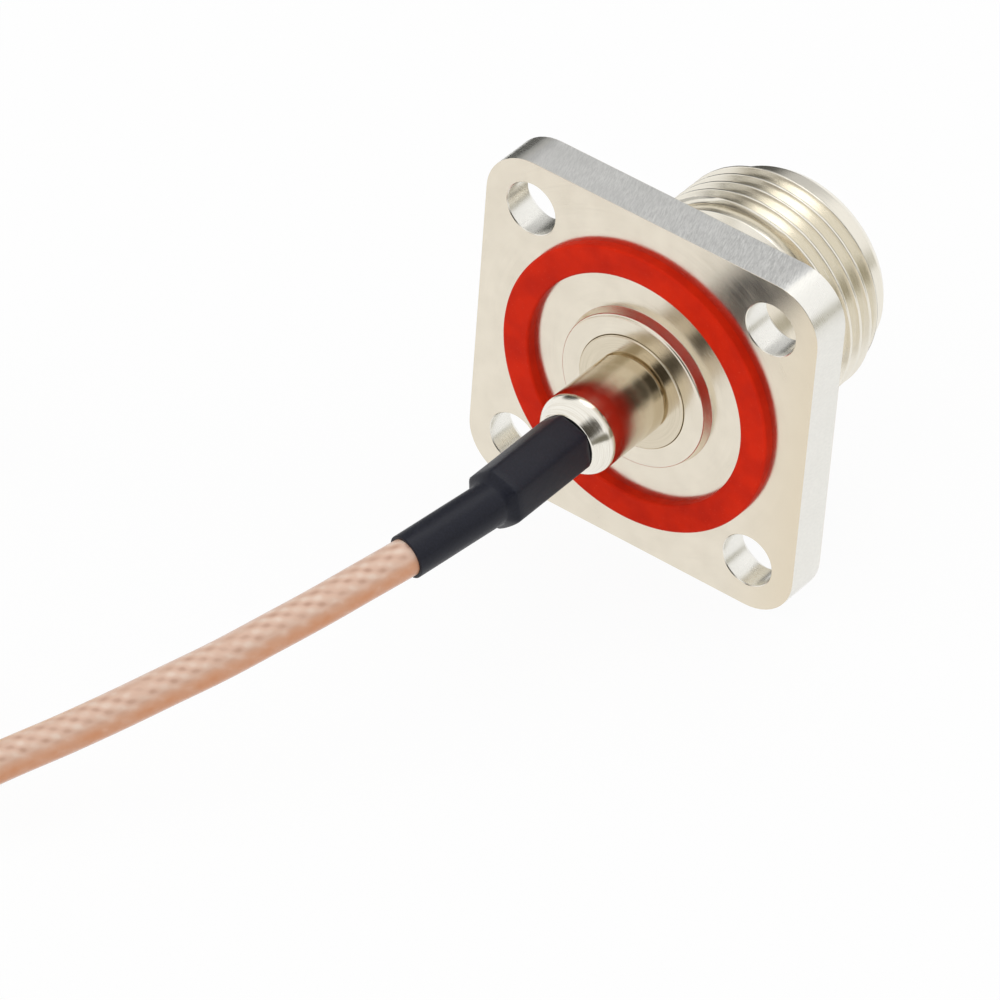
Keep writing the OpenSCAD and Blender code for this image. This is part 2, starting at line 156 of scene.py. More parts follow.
def finishPiece(name, bm, body, nodes, material, soft=None):
    s = shapeSettings
    bmesh.ops.recalc_face_normals(bm, faces=bm.faces)
    for edge in bm.edges:
        if edge.calc_face_angle(0) > math.radians(s["crisp"]):
            edge.smooth = soft is not None and all(soft(v.co) for v in edge.verts)
    bmesh.ops.scale(bm, vec=(mm, mm, mm), verts=bm.verts)
    for face in bm.faces:
        face.smooth = True
    mesh = bpy.data.meshes.new(name)
    bm.to_mesh(mesh)
    bm.free()
    piece = bpy.data.objects.new(name, mesh)
    scene.collection.objects.link(piece)
    mesh.materials.append(material)
    normals = piece.modifiers.new("normals", "WEIGHTED_NORMAL")
    normals.keep_sharp = True
    normals.weight = s["normalWeight"]
    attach(piece, body)
    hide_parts(*nodes)
    return piece


# Materials read Object coordinates in millimetres, or a piece's own UV map.
# An input of a node is a number, a colour or another node's output.
def node(material, kind, inputs=None, **settings):
    made = material.node_tree.nodes.new("ShaderNode" + kind)
    for name, value in settings.items():
        setattr(made, name, value)
    for name, value in (inputs or {}).items():
        if isinstance(value, bpy.types.NodeSocket):
            material.node_tree.links.new(value, made.inputs[name])
        else:
            made.inputs[name].default_value = value
    return made


def calc(material, operation, a, b=0.0, c=0.0):
    return node(material, "Math", {0: a, 1: b, 2: c}, operation=operation).outputs[0]


def remap(material, value, low, high, start=0.0, end=1.0):
    return node(material, "MapRange", {"Value": value, "From Min": low, "From Max": high,
                                       "To Min": start, "To Max": end}).outputs["Result"]


# Most of a noise's values lie between these
noiseSpan = (0.3, 0.7)


def noise(material, vector, scale, detail=2.0, roughness=0.5):
    return node(material, "TexNoise", {"Vector": vector, "Scale": scale, "Detail": detail,
                                       "Roughness": roughness}).outputs["Fac"]


def blendColours(material, share, a, b):
    mix = node(material, "Mix", {"Factor": share}, data_type="RGBA")
    for socket, value in ((mix.inputs[6], a), (mix.inputs[7], b)):
        if isinstance(value, bpy.types.NodeSocket):
            material.node_tree.links.new(value, socket)
        else:
            socket.default_value = (*value, 1)
    return mix.outputs[2]


def newMaterial(name, colour, metallic, roughness, specular=0.5):
    material = bpy.data.materials.new(name)
    material.use_nodes = True
    shader = material.node_tree.nodes["Principled BSDF"]
    shader.inputs["Base Color"].default_value = (*colour, 1)
    shader.inputs["Metallic"].default_value = metallic
    shader.inputs["Roughness"].default_value = roughness
    shader.inputs["Specular IOR Level"].default_value = specular
    return material


# Links a finish's patterns to its shader; depth is the height of the relief
def toShader(material, colour, rough, height, depth):
    bump = node(material, "Bump", {"Height": height, "Distance": depth * mm, "Strength": 1.0})
    shader = material.node_tree.nodes["Principled BSDF"]
    for name, value in (("Base Color", colour), ("Roughness", rough),
                        ("Normal", bump.outputs[0])):
        material.node_tree.links.new(value, shader.inputs[name])


def objectPlace(material):
    place = node(material, "TexCoord").outputs["Object"]
    return node(material, "VectorMath", {0: place, "Scale": 1 / mm},
                operation="SCALE").outputs[0]


# Object coordinates times a factor for each axis
def stretchedPlace(material, factors):
    return node(material, "VectorMath", {0: objectPlace(material), 1: factors},
                operation="MULTIPLY").outputs[0]


# Radius, length, turn, x and z from a Y axis through the centre
def turnedPlace(material, centre=(0, 0, 0)):
    place = node(material, "VectorMath", {0: objectPlace(material), 1: centre},
                 operation="SUBTRACT").outputs[0]
    parts = node(material, "SeparateXYZ", {0: place})
    x, y, z = (parts.outputs[i] for i in range(3))
    radius = calc(material, "SQRT", calc(material, "ADD", calc(material, "MULTIPLY", x, x),
                                         calc(material, "MULTIPLY", z, z)))
    return radius, y, calc(material, "ARCTAN2", z, x), x, z


def joined(material, x, y, z):
    return node(material, "CombineXYZ", {0: x, 1: y, 2: z}).outputs[0]


# Fine rings left by the tool, which fade in and out round the piece
def turningMarks(material, radius, y, turn, fine, changes):
    vector = joined(material, calc(material, "MULTIPLY", radius, fine),
                    calc(material, "MULTIPLY", y, fine), calc(material, "MULTIPLY", turn, changes))
    return noise(material, vector, 1, 3, 0.6)


flangeThickness = 3

nickelSettings = {
    "colour": (0.83, 0.765, 0.645),
    "dull": (0.70, 0.64, 0.53),
    "marks": 14,                # tool marks to a millimetre
    "markChanges": 1.2,
    "clouds": 0.55,             # how close the dull clouds lie
    "cloudShare": 0.35,
    "cloudSpan": (0.35, 0.75),
    "wearSpan": (0.35, 0.7),
    "cloudRough": 0.06,         # what the clouds and the marks add to the roughness
    "markRough": 0.08,
}

platedSettings = {
    "roughness": 0.18,
    "markDepth": 0.001,
    "markShare": 0.12,
    "bright": (0.86, 0.82, 0.725),      # the land, the thread and the collar
    "brightSpan": (8.6, 8.9),
    "warm": (0.78, 0.69, 0.54),         # the rear face towards its right edge
    "warmFrom": 7.5,
    "rearSpan": (0.03, 0),
    "milled": (0.88, 0.875, 0.85),      # the rim's upper edge
    "milledSide": (0.92, 0.905, 0.85),  # the rest of the rim, and the holes
    "rimFade": 0.06,
    "rimSpan": (12.4, 12.5),    # the flat sides of the rim start here
    "upperSpan": (12.6, 12.69),         # and its upper edge here
    "streaks": (9.0, 1.6),      # the cutter's streaks, across and along
    "streakSpan": (0.3, 0.62),
    "slant": 0.35,
    "streakDepth": 4.0,         # times the depth of the tool marks
    "streaksAndShadeAcross": (0.3, 0.95),   # how much the upper edge is streaked, from left to right: real streaks, with a painted shade that grows towards the right
    "cutFlat": 0.1,
    "cutPlain": 0.12,
    "cutShade": 0.6,
    "patches": 0.35,
    "patchShare": (0.1, 0.5),
    "patchShade": 0.72,
    "rimRougher": 0.07,
    "flatRougher": 0.08,
}

turnedSettings = {
    "roughness": 0.1,
    "markDepth": 0.003,
    "markShare": 0.5,
    "neck": (0.72, 0.645, 0.51),        # the crimp body, ahead of its cone, darkened by a painted shade
    "neckWornAndShaded": (0.60, 0.53, 0.41),
    # The neck's back end gets a painted shade, which fades in over the span below
    "neckEndShade": (0.58, 0.50, 0.40),
    "neckShadeFade": (-2.9, -4.6),
    "cone": (0.90, 0.87, 0.79),
    "coneSpan": (-6.45, -6.6),
    "coneDepth": 1.0,           # how much deeper the marks are there
}


# What both nickel finishes share: places, tool marks, wear, roughness and dull clouds
def nickelBase(name, kind):
    s = nickelSettings
    m = newMaterial(name, s["colour"], 1, kind["roughness"])
    radius, y, turn, x, z = turnedPlace(m)
    marks = turningMarks(m, radius, y, turn, s["marks"], s["markChanges"])
    clouds = noise(m, objectPlace(m), s["clouds"], 3)
    wear = calc(m, "MULTIPLY", remap(m, marks, *s["wearSpan"]), kind["markShare"])
    rough = calc(m, "MULTIPLY_ADD", remap(m, clouds, *noiseSpan), s["cloudRough"],
                 kind["roughness"] - s["cloudRough"] / 2)
    rough = calc(m, "MULTIPLY_ADD", remap(m, marks, *noiseSpan), s["markRough"], rough)
    return m, y, marks, wear, rough, clouds, x, z


# The shell: turned, apart from the milled rim of the flange and its holes
def platedFinish():
    s = platedSettings
    base = nickelSettings
    m, y, marks, wear, rough, clouds, x, z = nickelBase("platedNickel", s)
    dulled = calc(m, "MULTIPLY_ADD", remap(m, clouds, *base["cloudSpan"]),
                  base["cloudShare"], wear)
    colour = blendColours(m, dulled, base["colour"], base["dull"])
    bright = remap(m, y, *s["brightSpan"])
    colour = blendColours(m, bright, colour,
                          blendColours(m, wear, s["bright"], base["colour"]))
    side = s["rimSpan"][0]
    warm = calc(m, "MULTIPLY", remap(m, x, s["warmFrom"], side), remap(m, y, *s["rearSpan"]))
    colour = blendColours(m, warm, colour, s["warm"])

    # Where the rim and the holes are, the rim's flat sides, and its upper edge
    rim = calc(m, "MULTIPLY", remap(m, y, 0, s["rimFade"]),
               remap(m, y, flangeThickness, flangeThickness - s["rimFade"]))
    outer = calc(m, "MAXIMUM", calc(m, "ABSOLUTE", x), calc(m, "ABSOLUTE", z))
    flats = calc(m, "MULTIPLY", rim, remap(m, outer, *s["rimSpan"]))
    upper = calc(m, "MULTIPLY", flats, remap(m, z, *s["upperSpan"]))

    across, along = s["streaks"]
    slanted = calc(m, "MULTIPLY_ADD", y, s["slant"], x)
    streaks = noise(m, joined(m, calc(m, "MULTIPLY", slanted, across),
                              calc(m, "MULTIPLY", y, along),
                              calc(m, "MULTIPLY", z, across)), 1, 4, 0.8)
    patches = noise(m, objectPlace(m), s["patches"], 2)
    # The upper edge darkens towards the right: real cutter streaks, with a painted shade across
    # them
    streaksAndShadeAcross = remap(m, x, -side, side, *s["streaksAndShadeAcross"])
    cut = calc(m, "MULTIPLY_ADD", flats, s["cutFlat"], s["cutPlain"])
    cut = calc(m, "MULTIPLY_ADD", upper, streaksAndShadeAcross, cut)
    cut = calc(m, "MULTIPLY", remap(m, streaks, *s["streakSpan"]), cut)
    milled = blendColours(m, upper, s["milledSide"], s["milled"])
    milled = blendColours(m, cut, milled, tuple(c * s["cutShade"] for c in s["milled"]))
    patched = calc(m, "MULTIPLY", upper, remap(m, patches, *noiseSpan, *s["patchShare"]))
    milled = blendColours(m, patched, milled, tuple(c * s["patchShade"] for c in s["milled"]))
    colour = blendColours(m, rim, colour, milled)
    rough = calc(m, "MULTIPLY_ADD", rim, s["rimRougher"], rough)
    rough = calc(m, "MULTIPLY_ADD", flats, s["flatRougher"], rough)
    height = calc(m, "ADD", calc(m, "MULTIPLY", marks, calc(m, "SUBTRACT", 1.0, rim)),
                  calc(m, "MULTIPLY", calc(m, "MULTIPLY", streaks, flats), s["streakDepth"]))
    toShader(m, colour, rough, height, s["markDepth"])
    return m


# The crimp body: a neck with worn tool marks and a painted shade that darkens it, most towards its
# back end, and a brighter cone
def turnedFinish():
    s = turnedSettings
    m, y, marks, wear, rough = nickelBase("turnedNickel", s)[:5]
    coned = remap(m, y, *s["coneSpan"])
    # The neck's colours carry a painted shade; the wear from the tool marks is real
    neck = blendColours(m, wear, s["neck"], s["neckWornAndShaded"])
    # A painted shade, darker towards the neck's back end
    neck = blendColours(m, remap(m, y, *s["neckShadeFade"]), neck, s["neckEndShade"])
    cone = blendColours(m, wear, s["cone"], nickelSettings["dull"])
    height = calc(m, "MULTIPLY", marks, calc(m, "MULTIPLY_ADD", coned, s["coneDepth"], 1.0))
    toShader(m, blendColours(m, coned, neck, cone), rough, height, s["markDepth"])
    return m


goldSettings = {
    "colour": (0.93, 0.66, 0.27),
    "deep": (0.84, 0.56, 0.22),
    "marks": 14,
    "markChanges": 1.2,
    "markDepth": 0.0012,
    "clouds": 0.8,
    "cloudSpan": (0.3, 0.75, 0, 0.6),
    "roughness": (0.15, 0.27),
}


def goldFinish(name, centre):
    s = goldSettings
    m = newMaterial(name, s["colour"], 1, 0.2)
    radius, y, turn = turnedPlace(m, centre)[:3]
    marks = turningMarks(m, radius, y, turn, s["marks"], s["markChanges"])
    clouds = noise(m, objectPlace(m), s["clouds"], 3)
    colour = blendColours(m, remap(m, clouds, *s["cloudSpan"]), s["colour"], s["deep"])
    toShader(m, colour, remap(m, marks, *noiseSpan, *s["roughness"]), marks, s["markDepth"])
    return m


rubberSettings = {
    "colour": (0.76, 0.022, 0.002),
    "pale": (0.79, 0.023, 0.002),
    "deep": (0.64, 0.016, 0.002),
    "speck": (0.95, 0.14, 0.07),
    "speckShare": 0.35,
    "specks": 9,                # how close the specks, the clouds and the grain lie
    "speckSpan": (0.7, 0.78),
    "clouds": 0.5,
    "cloudSpan": (0.35, 0.7),
    "grain": 5,
    "roughness": (0.42, 0.62),
    "specular": 0.1,
    "grainDepth": 0.012,
}


def rubberFinish():
    s = rubberSettings
    m = newMaterial("redRubber", s["colour"], 0, 0.5, s["specular"])
    place = objectPlace(m)
    grain = noise(m, place, s["grain"], 4, 0.65)
    clouds = noise(m, place, s["clouds"], 2)
    specks = remap(m, noise(m, place, s["specks"], 1), *s["speckSpan"])
    colour = blendColours(m, remap(m, clouds, *s["cloudSpan"]), s["pale"], s["deep"])
    colour = blendColours(m, calc(m, "MULTIPLY", specks, s["speckShare"]), colour, s["speck"])
    toShader(m, colour, remap(m, grain, *noiseSpan, *s["roughness"]), grain, s["grainDepth"])
    return m


blackSettings = {
    "colour": (0.012, 0.013, 0.021),
    "deep": (0.007, 0.008, 0.015),
    "pale": (0.013, 0.0145, 0.025),
    "roughness": (0.36, 0.5),
    "specular": 0.26,
    "ripple": (1.1, 0.5, 1.1),  # gentle waves of the shrunk wall, longer along the sleeve
    "rippleDepth": 6.0,         # times the depth of the grain
    "grain": 7,
    "grainSpan": (0.4, 0.75),
    "grainDepth": 0.006,
}


def blackFinish():
    s = blackSettings
    m = newMaterial("heatShrink", s["colour"], 0, 0.44, s["specular"])
    grain = noise(m, objectPlace(m), s["grain"], 3, 0.6)
    ripple = noise(m, stretchedPlace(m, s["ripple"]), 1, 2)
    height = calc(m, "MULTIPLY_ADD", ripple, s["rippleDepth"], grain)
    colour = blendColours(m, remap(m, grain, *s["grainSpan"]), s["deep"], s["pale"])
    toShader(m, colour, remap(m, grain, *noiseSpan, *s["roughness"]), height, s["grainDepth"])
    return m


insulatorSettings = {
    "colour": (0.86, 0.86, 0.83),
    "pale": (0.88, 0.88, 0.85),
    "deep": (0.81, 0.81, 0.77),
    "marks": 7,
    "markChanges": 0.8,
    "markDepth": 0.003,
    "roughness": (0.32, 0.46),
}


def insulatorFinish():
    s = insulatorSettings
    m = newMaterial("whiteInsulator", s["colour"], 0, 0.38)
    radius, y, turn = turnedPlace(m)[:3]
    marks = turningMarks(m, radius, y, turn, s["marks"], s["markChanges"])
    colour = blendColours(m, remap(m, marks, *noiseSpan), s["pale"], s["deep"])
    toShader(m, colour, remap(m, marks, *noiseSpan, *s["roughness"]), marks, s["markDepth"])
    return m


wireSettings = {
    "colour": (0.82, 0.8, 0.76),
    "pale": (0.84, 0.82, 0.78),
    "deep": (0.62, 0.6, 0.56),
    "strands": (9, 1.2, 9),
    "strandSpan": (0.35, 0.7),
    "strandDepth": 0.01,
    "roughness": (0.22, 0.4),
}


def wireFinish():
    s = wireSettings
    m = newMaterial("silveredWire", s["colour"], 1, 0.28)
    strands = noise(m, stretchedPlace(m, s["strands"]), 1, 2)
    colour = blendColours(m, remap(m, strands, *s["strandSpan"]), s["pale"], s["deep"])
    toShader(m, colour, remap(m, strands, *noiseSpan, *s["roughness"]), strands,
             s["strandDepth"])
    return m


jacketSettings = {
    "carriers": 8,              # bundles of the braid each way round
    "pick": 1.42,               # their distance along the cable
    "pale": (0.88, 0.70, 0.58),
    "plain": (0.76, 0.51, 0.385),
    "deep": (0.46, 0.235, 0.16),
    # painted shade: a deeper orange along one side of the cable
    "shadeOrange": (0.69, 0.30, 0.14),
    "paleSpan": (-0.1, 0.9, 0, 0.8),    # from strokes to shares of their colours
    "deepSpan": (-0.25, -0.95, 0, 0.62),
    "firstWay": 0.7,            # share of the strokes that slant one way
    "litStrokesAt": 0.31,          # share of a turn where the braid's dark strokes show most: the braid is real, but showing it mostly on this upper side is painted light and shade
    "litStrokesSpan": (0.7, 0.99),
    "unlitStrokes": 0.12,
    "faintest": 0.3,
    "faint": 0.9,               # how close the faint places lie
    "faintSpan": (0.3, 0.62),
    "shadeOrangeAt": 0.515,            # and where the painted shade of deeper orange lies, along one side
    "shadeOrangeSpan": (0.72, 0.985),
    "shadeOrangeShare": (1, 0.75),
    "wander": (0.5, 2.4),       # how often and how far the strokes stray from the weave
    "weaveDepth": 0.01,
    "roughness": (0.3, 0.4),
    "specular": 0.35,
    "coat": 0.4,
    "coatRoughness": 0.12,
}


# A clear brown jacket; the braid below it shows as pale and dark slanting strokes, with the dark
# ones painted to show mostly on the upper side, and a painted shade of deeper orange along one
# side
def jacketFinish(length):
    s = jacketSettings
    m = newMaterial("clearJacket", s["plain"], 0, 0.36, s["specular"])
    shader = m.node_tree.nodes["Principled BSDF"]
    shader.inputs["Coat Weight"].default_value = s["coat"]
    shader.inputs["Coat Roughness"].default_value = s["coatRoughness"]
    parts = node(m, "SeparateXYZ", {0: node(m, "UVMap", uv_map="UVMap").outputs[0]})
    turn = calc(m, "MULTIPLY", parts.outputs[0], 2 * math.pi)
    around = calc(m, "MULTIPLY", turn, s["carriers"])
    along = calc(m, "MULTIPLY", parts.outputs[1], length / s["pick"] * 2 * math.pi)
    place = objectPlace(m)
    often, far = s["wander"]
    wander = calc(m, "MULTIPLY", noise(m, place, often, 2), far)
    one = calc(m, "SINE", calc(m, "ADD", calc(m, "ADD", along, around), wander))
    other = calc(m, "SINE", calc(m, "SUBTRACT", along, around))
    faint = remap(m, noise(m, place, s["faint"], 2), *s["faintSpan"])

    # How near a place is to a share of a turn
    def near(share, span):
        off = calc(m, "SUBTRACT", turn, share * 2 * math.pi)
        return remap(m, calc(m, "COSINE", off), *span)

    first, least = s["firstWay"], s["faintest"]
    weave = calc(m, "MULTIPLY_ADD", one, first, calc(m, "MULTIPLY", other, 1 - first))
    # The dark strokes show mostly on the upper side, a painted light and shade over the real braid
    litStrokeSide = near(s["litStrokesAt"], s["litStrokesSpan"])
    shown = calc(m, "MULTIPLY", calc(m, "MULTIPLY_ADD", faint, 1 - least, least),
                 remap(m, litStrokeSide, 0, 1, s["unlitStrokes"], 1))
    dark = calc(m, "MULTIPLY", remap(m, weave, *s["deepSpan"]), shown)
    light = calc(m, "MULTIPLY", remap(m, weave, *s["paleSpan"]), faint)
    # A painted shade of deeper orange along one side of the cable
    shadeOrange = calc(m, "MULTIPLY", near(s["shadeOrangeAt"], s["shadeOrangeSpan"]),
                remap(m, faint, 0, 1, *s["shadeOrangeShare"]))
    colour = blendColours(m, light, s["plain"], s["pale"])
    colour = blendColours(m, dark, colour, s["deep"])
    colour = blendColours(m, shadeOrange, colour, s["shadeOrange"])
    toShader(m, colour, remap(m, faint, 0, 1, *s["roughness"]), weave, s["weaveDepth"])
    return m


platedNickel = platedFinish()
turnedNickel = turnedFinish()
contactGold = goldFinish("contactGold", (0, 0, 0))
white = insulatorFinish()
red = rubberFinish()
black = blackFinish()
wire = wireFinish()
print("materials")

cableSettings = {
    "diameter": 2.5,
    "sides": 24,
    "step": 0.6,                # spacing of the rings along the cable
    "route": [(0, -14.0, 0), (0, -15.75, 0), (-0.48, -18.2, -0.28), (-0.91, -20.4, -0.54),
              (-1.27, -22.2, -0.76), (-2.4, -25, -1.6), (-3.6, -27.9, -2.5),
              (-4.9, -30.8, -3.4), (-6.4, -33.7, -4.5), (-8, -36.6, -5.5),
              (-9.7, -39.5, -6.6), (-11.5, -42.4, -7.7), (-13.2, -45.2, -8.6),
              (-14.9, -48.2, -9.6), (-16.3, -51, -10.5), (-17.5, -53.6, -11)],
    "coilCentre": (-29.5, -50),
    "coilHeight": -11.13,
    "coilRadius": 12.5,
    "coilLift": 2.5,            # the second turn lies on the first
    "coilPoints": 29,
    "between": 24,              # places between two points of the smooth line
    "entryAngle": -28,
    "climbAngle": (284, 334),   # where the cable climbs onto the first turn
    "exitAngle": 427,
    "tail": [(-33.9, -61.5, -8.6), (-36.8, -59.6, -8.6), (-38.8, -56.7, -8.5),
             (-39.5, -54.2, -8.4), (-39.7, -52, -8.4), (-39.7, -48, -8.4),
             (-39.7, -44, -8.4), (-39.7, -38.2, -8.4)],
}


def ease(x):
    x = min(max(x, 0), 1)
    return x * x * (3 - 2 * x)


def cablePoints():
    s = cableSettings
    points = [Vector(p) for p in s["route"]]
    for i in range(s["coilPoints"] + 1):
        angle = s["exitAngle"] * i / s["coilPoints"]
        start, end = s["climbAngle"]
        a = math.radians(s["entryAngle"] - angle)
        lift = ease((angle - start) / (end - start)) * s["coilLift"]
        points.append(Vector((s["coilCentre"][0] + s["coilRadius"] * math.cos(a),
                              s["coilCentre"][1] + s["coilRadius"] * math.sin(a),
                              s["coilHeight"] + lift)))
    return points + [Vector(p) for p in s["tail"]]


# A smooth line through the points, with places an even step apart, and its length
def smoothPath(points, step):
    between = cableSettings["between"]
    dense = []
    for i in range(len(points) - 1):
        a, b = points[max(i - 1, 0)], points[i]
        c, d = points[i + 1], points[min(i + 2, len(points) - 1)]
        for k in range(between):
            t = k / between
            dense.append(0.5 * (2 * b + (c - a) * t + (2 * a - 5 * b + 4 * c - d) * t * t
                                + (3 * b - a - 3 * c + d) * t ** 3))
    dense.append(points[-1])
    lengths = [0]
    for p, q in zip(dense, dense[1:]):
        lengths.append(lengths[-1] + (q - p).length)
    count = round(lengths[-1] / step)
    path, j = [], 0
    for i in range(count + 1):
        want = lengths[-1] * i / count
        while j < len(lengths) - 2 and lengths[j + 1] < want:
            j += 1
        share = (want - lengths[j]) / max(lengths[j + 1] - lengths[j], 1e-9)
        path.append(dense[j].lerp(dense[j + 1], share))
    return path, lengths[-1]


# A tube along stations of (centre, radius) or (centre, radius, heading); a radius may
# be a function of the share of a turn
def swept(stations, sides):
    centres = [s[0] for s in stations]

    def heading(i):
        ahead = Vector((0, 0, 0))
        step = 1
        while ahead.length < shapeSettings["weld"]:
            ahead = centres[min(i + step, len(centres) - 1)] - centres[max(i - step, 0)]
            step += 1
        return ahead.normalized()

    headings = [s[2] if len(s) > 2 else heading(i) for i, s in enumerate(stations)]

    def place(row, around):
        centre, radius = stations[row][:2]
        side = headings[row].cross(Vector((0, 0, 1))).normalized()
        up = side.cross(headings[row])
        turn = 2 * math.pi * around
        if callable(radius):
            radius = radius(around)
        return centre + radius * (math.cos(turn) * side + math.sin(turn) * up)

    return rolled(len(stations), sides, place)


def addCable():
    s = cableSettings
    path, length = smoothPath(cablePoints(), s["step"])
    radius = s["diameter"] / 2
    stations = [(path[0], 0, path[1] - path[0])] + [(p, radius) for p in path]
    stations.append((path[-1], 0, path[-1] - path[-2]))
    cable = finishPiece("cable", swept(stations, s["sides"]), "pigtail",
                        ["cable_lead", "cable_coil", "cable_tail"],
                        jacketFinish(length))
    print("cable", round(length, 1), "mm long")


# All one piece: the square flange, the boss behind it and the barrel in front
shellSettings = {
    "corner": 3.4,
    "cornerSteps": 12,
    "edge": 0.015,              # the broken edge all round
    "holePlace": 9.2,
    "hole": 1.85,
    "holeSides": 48,
    "holeEdge": 0.06,
    "sink": 0.85,
    "boss": 5.44,
    "bossRound": 0.2,
    "bossFoot": 5.62,           # its side leans, so it mirrors the gasket
    "bossBreak": (5.59, -0.04),
    "relief": (6.3, 9.8),       # radius and front end
    "runOut": 0.95,             # length of the cone that ends it
    "reliefFoot": 0.08,
    "root": 7.3,
    "thread": (10.45, 14.85),
    "crest": 7.94,
    "pitch": 1.058,
    "firstCrest": (14.85, 0.125),       # its place along the axis and its share of a turn
    "crestHalf": 0.0625,        # half the flat of the crest and of the root, in turns
    "rootHalf": 0.125,
    "rowStep": 0.03,
    "collar": 7,
    "collarBevel": (0.4, 0.6),
    "softBeyond": 7.1,          # the thread's edges are shaded smooth outside this radius
    "mouthBevel": 0.5,
    "bores": ((4.04, 2.52), (3.92, 6.14), (3.5, 8.1), (4.25, 17.2)),
    "sides": 192,
}


def threadRadius(s, radius, y, around):
    start, end = s["thread"]
    if not start < y < end:
        return radius
    crest, crestTurn = s["firstCrest"]
    turns = (y - crest) / s["pitch"] + around - crestTurn
    away = abs(turns - round(turns))
    flank = 0.5 - s["rootHalf"] - s["crestHalf"]
    height = min(max((0.5 - s["rootHalf"] - away) / flank, 0), 1)
    return s["root"] + (s["crest"] - s["root"]) * height


def addShell():
    s = shellSettings
    low, high = boxOf("jack_shell")
    t, e = flangeThickness, s["edge"]
    relief, reliefEnd = s["relief"]
    start, end = s["thread"]
    rows = round((end - start) / s["rowStep"])
    outline = [(s["bossFoot"], 0), s["bossBreak"], (s["boss"], low.y, s["bossRound"])]
    back = low.y
    for radius, front in s["bores"]:
        outline += [(radius, back, 0.08), (radius, front, 0.06)]
        back = front
    mouth, mouthBevel = s["bores"][-1][0], s["mouthBevel"]
    bevel, bevelLength = s["collarBevel"]
    outline[-1] = (mouth, high.y - mouthBevel, 0.05)
    outline += [(mouth + mouthBevel, high.y, 0.08), (s["collar"] - bevel, high.y, 0.1),
                (s["collar"], high.y - bevelLength, 0.1), (s["collar"], end + s["rowStep"])]
    outline += [(s["root"], end - i * (end - start) / rows) for i in range(rows + 1)]
    outline += [(s["root"], reliefEnd, 0.05), (relief, reliefEnd - s["runOut"], 0.15),
                (relief, t + s["reliefFoot"]), (relief + s["reliefFoot"], t)]

    def thread(radius, y, around):
        return threadRadius(s, radius, y, around) if radius > s["collar"] else radius

    bm = turned(outline, s["sides"], closed=False, shift=thread)

    # The rim of the square, row by row from the rear face to the front face
    rim = [(e, 0), (0, e), (0, t - e), (e, t)]
    arc = s["cornerSteps"] + 1

    def square(row, around):
        inset, y = rim[row]
        quarter, k = divmod(round(around * 4 * arc) % (4 * arc), arc)
        turn = math.pi / 2 * (quarter + k / s["cornerSteps"])
        middle = math.pi / 4 * (2 * quarter + 1)
        straight = (high.x - s["corner"]) * math.sqrt(2)
        corner = s["corner"] - inset
        return Vector((straight * math.cos(middle) + corner * math.cos(turn), y,
                       straight * math.sin(middle) + corner * math.sin(turn)))

    rolled(len(rim), 4 * arc, square, bm)
    hole = [(s["hole"] + s["holeEdge"], 0), (s["hole"], s["holeEdge"]),
            (s["hole"], t - s["sink"], 0.05), (s["hole"] + s["sink"], t)]
    for x in (-s["holePlace"], s["holePlace"]):
        for z in (-s["holePlace"], s["holePlace"]):
            turned(hole, s["holeSides"], closed=False, at=(x, 0, z), bm=bm)
    for face in (0, t):
        borders = [edge for edge in bm.edges if edge.is_boundary
                   and all(abs(v.co.y - face) < shapeSettings["weld"] for v in edge.verts)]
        bmesh.ops.triangle_fill(bm, use_beauty=True, use_dissolve=False, edges=borders)

    def onThread(place):
        return start < place.y < end and math.hypot(place.x, place.z) > s["softBeyond"]

    finishPiece("jackShell", bm, "pigtail", ["jack_shell"], platedNickel,
                soft=onThread)
    print("shell")


# The bush in the boss, the neck behind it and the post that the braid is crimped on
crimpSettings = {
    "bush": 4.02,
    "front": 2.5,
    "back": 0.95,               # behind the flange's rear face
    "neck": 2.8,
    "neckBack": 6.6,
    "neckRound": 0.35,
    "groove": (0.24, 0.2),      # depth and width of the undercut at the neck's root
    "grooveLean": 0.06,
    "cone": (2.07, 7.7),
    "post": 0.98,
    "postBack": 12.1,
    "insulatorBore": (2.12, 2.02),      # radius and back end
    "postBore": 0.78,
    "sides": 128,
}


def addCrimpBody():
    s = crimpSettings
    front, back = s["front"], -s["back"]
    coneRadius, coneBack = s["cone"]
    depth, width = s["groove"]
    bore, boreBack = s["insulatorBore"]
    outline = [(s["bush"], front, 0.1), (s["bush"], back, 0.1),
               (s["neck"] - depth, back, 0.02), (s["neck"] - depth, back - width, 0.02),
               (s["neck"], back - width - s["grooveLean"], 0.05),
               (s["neck"], -s["neckBack"], s["neckRound"]),
               (coneRadius, -coneBack, 0.08), (s["post"], -coneBack, 0.03),
               (s["post"], -s["postBack"], 0.03), (s["postBore"], -s["postBack"], 0.03),
               (s["postBore"], -boreBack, 0.03), (bore, -boreBack, 0.03), (bore, front, 0.03)]
    finishPiece("crimpBody", turned(outline, s["sides"]), "pigtail", ["crimp_body"],
                turnedNickel)
    print("crimp body")


# The ring on the flange's rear face
gasketSettings = {"width": 2, "soft": 0.2, "sides": 160}


def addGasket():
    s = gasketSettings
    low, high = boxOf("panel_gasket")
    outer, inner = high.x, high.x - s["width"]
    outline = [(outer, high.y), (outer, low.y, s["soft"]),
               (inner, low.y, s["soft"]), (inner, high.y)]
    finishPiece("panelGasket", turned(outline, s["sides"]), "pigtail", ["panel_gasket"],
                red)
    print("gasket")


